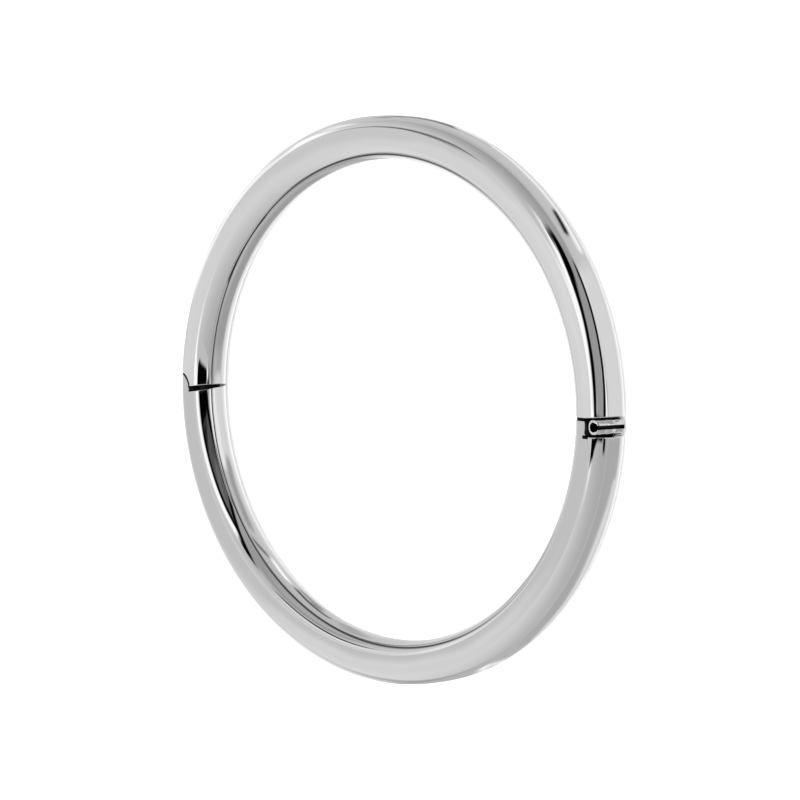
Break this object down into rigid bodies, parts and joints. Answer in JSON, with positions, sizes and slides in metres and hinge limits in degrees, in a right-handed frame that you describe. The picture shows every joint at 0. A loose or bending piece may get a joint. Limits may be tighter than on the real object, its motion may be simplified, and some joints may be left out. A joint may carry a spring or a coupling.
{
  "type": "hinged oval bangle",
  "caption": "Plain polished silver oval bangle in two hollow half hoops, with a knuckle hinge on one side and a tongue clasp on the other.",
  "frame": {"origin": "centre of the oval at the back face, which the bangle rests on", "axes": "+X from the clasp to the hinge, the oval's long way; +Y towards the upper half; +Z along the wrist, up from the back face"},
  "size_m": [0.069, 0.0584, 0.004],
  "materials": {
    "upper_half_silver": "mirror-polished silver",
    "lower_half_silver": "mirror-polished silver",
    "hinge_pin_silver": "polished silver, peened ends",
    "clasp_tongue_silver": "polished silver"
  },
  "bodies": {
    "lower": {"lower_half": "lower_half_silver", "hinge_pin": "hinge_pin_silver", "clasp_tongue": "clasp_tongue_silver"},
    "upper": {"upper_half": "upper_half_silver"}
  },
  "joints": [
    {"name": "hinge_open", "type": "hinge", "parent": "lower", "child": "upper", "pos_m": [0.0333, -0.00086, 0.002], "axis": [0, 0, -1], "range_deg": [0, 72]}
  ]
}
